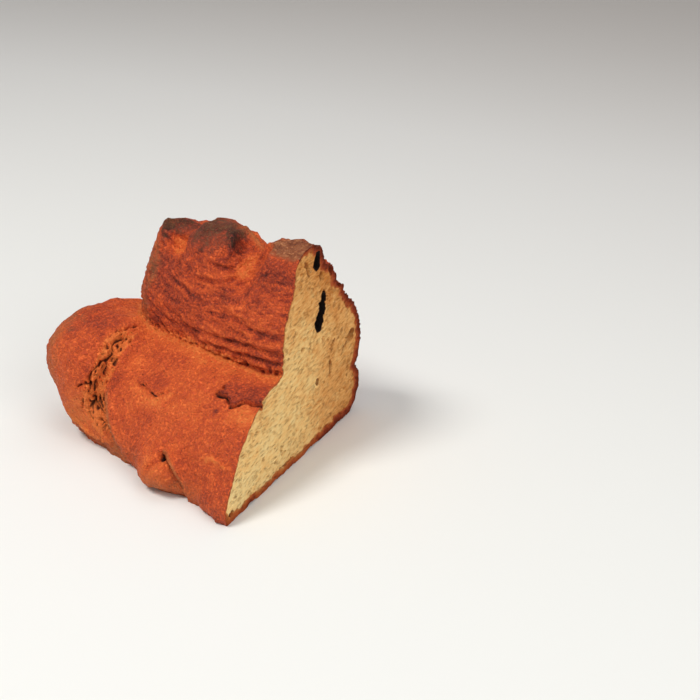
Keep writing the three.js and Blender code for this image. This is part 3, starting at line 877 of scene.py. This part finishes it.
def dressedLoaf():
    points, tris, tone = bakedCrust()
    points, tris, tone, rim = slicedAt(points, tris, tone)
    baseTone = np.array([0.62, 0.55, 0, 0])

    def withMore(more):
        return np.vstack([points, more]), np.vstack([tone, np.tile(baseTone, (len(more), 1))])

    # the cut's lower edge, a little ragged where it meets the board
    onCut, onBoard = np.abs(points[:, 0]) < 1e-3, np.abs(points[:, 2] - board) < 1e-3
    cutRim = rim[onCut[rim].all(1)]
    boardRim = rim[onBoard[rim].all(1) & ~onCut[rim].all(1)]
    front, back = sorted(np.flatnonzero(onCut & onBoard), key=lambda i: points[i, 1])
    count = int((points[back, 1] - points[front, 1]) / 0.8)
    foot = np.zeros((count - 1, 3))
    foot[:, 1] = np.linspace(points[front, 1], points[back, 1], count + 1)[1:-1]
    foot[:, 2] = board + np.maximum(0.2 + 1.6 * rough(foot, 7, 30), 0)
    chain = np.concatenate([[front], len(points) + np.arange(count - 1), [back]])
    chain = beside(chain[:-1], chain[1:])
    points, tone = withMore(foot)
    print("crust sliced:", len(tris), "faces")

    edges = np.vstack([cutRim, chain])
    outline, lattice, gap, cutTris = filled(points[:, 1:], edges, crumb["spacing"], 31)
    depth, faceTone = crumbFace(lattice, gap)
    _, rimTone = crumbFace(points[:, 1:], np.zeros(len(points)))
    order = np.concatenate([outline, len(points) + np.arange(len(lattice))])
    groups = [tris, order[cutTris]]
    points, tone = withMore(beside(-depth, lattice[:, 0], lattice[:, 1]))
    crumbTone = np.vstack([rimTone, faceTone])
    print("crumb opened:", len(cutTris), "faces")

    edges = np.vstack([boardRim, chain])
    outline, lattice, gap, boardTris = filled(points[:, :2], edges, 4.0, 32)
    order = np.concatenate([outline, len(points) + np.arange(len(lattice))])
    groups.append(order[boardTris][:, ::-1])
    under = beside(lattice[:, 0], lattice[:, 1], 0 * gap)
    under[:, 2] = board + np.maximum((0.9 + 0.9 * rough(under, 18, 33)) * smooth(gap, 0, 12), 0)
    points, tone = withMore(under)
    crumbTone = np.vstack([crumbTone, np.zeros((len(under), 4))])

    tris = np.vstack(groups)
    group = np.repeat(np.arange(3), [len(g) for g in groups])
    mesh = meshOf("hornLoafHalf", (points + toFrame) / 1000, tris, tone)
    layer = mesh.attributes.new("crumbTone", "FLOAT_COLOR", "POINT")
    layer.data.foreach_set("color", crumbTone.astype(np.float32).ravel())
    mesh.polygons.foreach_set("material_index", (group == 1).astype(np.int32))
    mesh.shade_smooth()

    # shading breaks only where crust, crumb and underside meet
    crisp = bmesh.new()
    crisp.from_mesh(mesh)
    crisp.faces.ensure_lookup_table()
    for edge in crisp.edges:
        sides = {group[f.index] for f in edge.link_faces}
        edge.smooth = len(sides) == 1
    crisp.to_mesh(mesh)
    crisp.free()
    print("loaf put together:", len(tris), "faces")
    return mesh


def shade(hexColour):
    # colours are written as they look, the shader wants them linear
    parts = [int(hexColour[i:i + 2], 16) / 255 for i in (0, 2, 4)]
    return tuple(c / 12.92 if c <= 0.04045 else ((c + 0.055) / 1.055) ** 2.4 for c in parts) + (1.0,)


class Recipe:
    # shorthand for wiring one material, sizes in mm
    def __init__(self, name, roughness, specular):
        self.material = bpy.data.materials.new(name)
        self.material.use_nodes = True
        self.tree = self.material.node_tree
        self.shader = self.tree.nodes["Principled BSDF"]
        self.shader.inputs["Roughness"].default_value = roughness
        self.shader.inputs["Specular IOR Level"].default_value = specular
        self.place = self.tree.nodes.new("ShaderNodeTexCoord").outputs["Object"]

    def wire(self, source, socket):
        if isinstance(source, bpy.types.NodeSocket):
            self.tree.links.new(source, socket)
        else:
            socket.default_value = source

    def add(self, kind, **inputs):
        node = self.tree.nodes.new("ShaderNode" + kind)
        for name, value in inputs.items():
            self.wire(value, node.inputs[name])
        return node

    def drawnOut(self, times, turn):
        # a place in which noise comes out stretched along turned axes
        node = self.add("Mapping", Scale=times, Rotation=[math.radians(a) for a in turn], Vector=self.place)
        node.vector_type = "TEXTURE"
        return node.outputs["Vector"]

    def noise(self, size, detail=3, roughness=0.55, place=None):
        node = self.add("TexNoise", Scale=1000 / size, Detail=detail, Roughness=roughness,
                        Vector=place or self.place)
        return node.outputs["Fac"]

    def cells(self, size, place=None):
        return self.add("TexVoronoi", Scale=1000 / size, Vector=place or self.place).outputs["Distance"]

    def maths(self, a, b, how, third=None):
        node = self.add("Math")
        node.operation = how
        for source, socket in zip((a, b, third), node.inputs):
            if source is not None:
                self.wire(source, socket)
        return node.outputs[0]

    def scaled(self, value, times, plus):
        return self.maths(value, times, "MULTIPLY_ADD", plus)

    def between(self, value, low, high, toLow=0.0, toHigh=1.0):
        ends = {"From Min": low, "From Max": high, "To Min": toLow, "To Max": toHigh}
        node = self.add("MapRange", Value=value, **ends)
        node.interpolation_type = "SMOOTHSTEP"
        return node.outputs["Result"]

    def ramp(self, value, stops):
        node = self.add("ValToRGB", Fac=value)
        elements = node.color_ramp.elements
        while len(elements) < len(stops):
            elements.new(0.5)
        for element, (at, colour) in zip(elements, stops):
            element.position = at
            element.color = shade(colour)
        return node.outputs["Color"]

    def mix(self, amount, a, b):
        node = self.add("Mix")
        node.data_type = "RGBA"
        node.clamp_factor = True
        sockets = {s.identifier: s for s in node.inputs}
        self.wire(amount, sockets["Factor_Float"])
        self.wire(a, sockets["A_Color"])
        self.wire(b, sockets["B_Color"])
        return next(s for s in node.outputs if s.identifier == "Result_Color")

    def tones(self, name):
        # the four values that the mesh holds under this name
        node = self.add("Attribute")
        node.attribute_name = name
        split = self.add("SeparateColor", Color=node.outputs["Color"])
        return split.outputs[0], split.outputs[1], split.outputs[2], node.outputs["Alpha"]

    def bump(self, height, deep):
        node = self.add("Bump", Distance=deep / 1000, Strength=1.0, Height=height)
        self.wire(node.outputs["Normal"], self.shader.inputs["Normal"])


def bakedCrustFinish():
    m = Recipe("bakedCrust", 0.62, 0.28)
    bakeAndShading, tan, grey, cracksAndShade = m.tones("tone")
    blotch, patchy = m.noise(15, 3), m.noise(4.2, 4, 0.6)
    grain, speck = m.noise(1.5, 3, 0.7), m.noise(1.0, 2)
    grit = m.between(grain, 0.36, 0.64)
    pocks = m.between(m.cells(3.2), 0.20, 0.06)
    streaks = m.noise(2.4, 4, 0.65, m.drawnOut((1, 4.5, 1), (25, 0, -32)))
    # colour from the bake value, which also holds painted shade and painted highlight
    colour = m.scaled(blotch, 0.16, m.maths(bakeAndShading, 0.51, "SUBTRACT"))
    colour = m.scaled(patchy, 0.30, colour)
    colour = m.scaled(grit, 0.25, colour)
    colour = m.scaled(streaks, 0.22, colour)
    base = m.ramp(colour, [(0.0, "ff8740"), (0.16, "fa7234"), (0.40, "db572a"), (0.6, "ae4228"),
                           (0.76, "823122"), (0.9, "48211a"), (1.0, "1c100d")])
    mottle = m.scaled(patchy, 0.5, m.maths(grain, 0.5, "MULTIPLY"))
    tanColour = m.ramp(mottle, [(0.36, "96522a"), (0.5, "b87340"), (0.64, "d29a60")])
    base = m.mix(m.maths(tan, 0.85, "MULTIPLY"), base, tanColour)
    greyColour = m.ramp(mottle, [(0.36, "723a20"), (0.5, "a65e3a"), (0.64, "cc8a5c")])
    base = m.mix(grey, base, greyColour)
    base = m.mix(m.between(speck, 0.60, 0.74, 0, 0.35), base, shade("f59454"))
    # painted shade darkening the small pits
    base = m.mix(m.maths(pocks, 0.45, "MULTIPLY"), base, shade("74291a"))
    # dark of the cracks, and painted shade in grooves, creases and under lifted edges
    base = m.mix(m.between(cracksAndShade, 0.12, 0.9), base, shade("260e08"))
    m.wire(base, m.shader.inputs["Base Color"])
    m.wire(m.between(patchy, 0.3, 0.7, 0.5, 0.75), m.shader.inputs["Roughness"])
    height = m.scaled(grit, 0.75, m.scaled(patchy, 0.8, m.maths(speck, 0.6, "MULTIPLY")))
    height = m.scaled(pocks, -0.5, m.scaled(streaks, 0.7, height))
    m.bump(height, 1.1)
    return m.material


def openCrumbFinish():
    m = Recipe("openCrumb", 0.8, 0.15)
    fromRim, hole, warm, scorch = m.tones("crumbTone")
    grainPlace = m.drawnOut((1, 4.2, 1), (crumb["grain"], 0, 0))
    pits, fine = m.cells(1.2, grainPlace), m.cells(0.7, grainPlace)
    fibres = m.noise(1.5, 4, 0.7, grainPlace)
    cloud = m.noise(14, 3)
    tone = m.scaled(cloud, 0.3, m.scaled(fibres, 1.2, m.maths(warm, 0.72, "SUBTRACT")))
    base = m.ramp(tone, [(0.0, "ffdf9c"), (0.35, "ffd086"), (0.65, "f0ae64"), (1.0, "cf8038")])
    # painted shade darkening the small pits of the crumb
    base = m.mix(m.between(pits, 0.36, 0.12, 0, 0.26), base, shade("c9853f"))
    # painted shade in the holes and pores, brown at first
    base = m.mix(m.between(hole, 0.05, 0.5, 0, 0.9), base, shade("94501f"))
    crustEdge = m.ramp(m.scaled(fibres, 0.3, m.maths(fromRim, 0.15, "SUBTRACT")),
                       [(0.0, "a0481f"), (0.35, "ba5c2c"), (0.7, "cc7e40"), (1.0, "dca262")])
    burnt = m.ramp(m.scaled(fibres, 0.5, m.maths(fromRim, 0.25, "SUBTRACT")),
                   [(0.0, "66240f"), (0.35, "9a3c1d"), (0.7, "bc5c2b"), (1.0, "cf8848")])
    crustEdge = m.mix(m.between(scorch, 0.25, 0.6), crustEdge, burnt)
    base = m.mix(m.between(fromRim, 0.8, 1.0, 1, 0), base, crustEdge)
    # painted shade: black in the deep holes
    base = m.mix(m.between(hole, 0.5, 0.9), base, shade("140905"))
    m.wire(base, m.shader.inputs["Base Color"])
    height = m.scaled(fibres, 1.0, m.scaled(fine, 0.3, m.between(pits, 0.05, 0.45)))
    m.bump(height, 1.1)
    return m.material


def studioFloorFinish():
    m = Recipe("paleFloor", 0.7, 0.2)
    split = m.add("SeparateXYZ", Vector=m.place)
    # painted shade: the floor darkens from near-white in front to grey towards the back
    depth = m.scaled(m.noise(400, 2), 0.05, split.outputs[1])
    m.wire(m.ramp(m.between(depth, -0.1, 1.3), [(0.0, "eeeeea"), (0.5, "e4e2de"), (1.0, "cbc5bf")]),
           m.shader.inputs["Base Color"])
    return m.material


def placed(name, data):
    thing = bpy.data.objects.new(name, data)
    bpy.context.collection.objects.link(thing)
    return thing


loaf = placed("hornLoafHalf", dressedLoaf())
loaf.data.materials.append(bakedCrustFinish())
loaf.data.materials.append(openCrumbFinish())
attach(loaf, "root")
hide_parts("half_loaf")
print("loaf dressed")

studio = {  # metres and watts
    "floorHalf": 4.0,
    "aim": (0, 0, 0.05),   # where the lamps point
    "key": dict(at=(-0.5, -0.7, 1.5), wide=0.6, watts=17.5, colour=(1.0, 0.98, 0.95)),
    "fill": dict(at=(1.3, -0.6, 0.9), wide=1.2, watts=9.5, colour=(1.0, 0.99, 0.97)),
    "top": dict(at=(0.1, 0.5, 1.6), wide=1.6, watts=6, colour=(0.97, 0.98, 1.0)),
    "sky": dict(colour=(0.96, 0.97, 1.0, 1.0), strength=0.28),
}
sheet = bmesh.new()
bmesh.ops.create_grid(sheet, x_segments=8, y_segments=8, size=studio["floorHalf"])
floorMesh = bpy.data.meshes.new("paleFloor")
sheet.to_mesh(floorMesh)
sheet.free()
floor = placed("paleFloor", floorMesh)
floor.data.materials.append(studioFloorFinish())

for name in ("key", "fill", "top"):
    lamp = studio[name]
    light = bpy.data.lights.new(name, "AREA")
    light.shape = "DISK"
    light.size, light.energy, light.color = lamp["wide"], lamp["watts"], lamp["colour"]
    body = placed(name, light)
    body.location = lamp["at"]
    body.rotation_euler = (Vector(lamp["at"]) - Vector(studio["aim"])).to_track_quat("Z", "Y").to_euler()

sky = bpy.data.worlds.new("studioSky")
sky.use_nodes = True
glow = sky.node_tree.nodes["Background"]
glow.inputs["Color"].default_value = studio["sky"]["colour"]
glow.inputs["Strength"].default_value = studio["sky"]["strength"]
bpy.context.scene.world = sky
bpy.context.scene.view_settings.view_transform = "Standard"
print("studio lit")

view = {  # the photographer's place in mm, and the angles in degrees
    "from": (389.9, -597.6, 468.1),
    "around": 27.72,
    "down": 27.0,
    "wide": 26.0,
}
around, down = math.radians(view["around"]), math.radians(view["down"])
back = Vector((math.sin(around) * math.cos(down), -math.cos(around) * math.cos(down), math.sin(down)))
camera = placed("camera", bpy.data.cameras.new("camera"))
camera.data.angle = math.radians(view["wide"])
camera.data.clip_end = 20
camera.location = (np.array(view["from"]) + toFrame) / 1000
camera.rotation_euler = back.to_track_quat("Z", "Y").to_euler()
bpy.context.scene.camera = camera
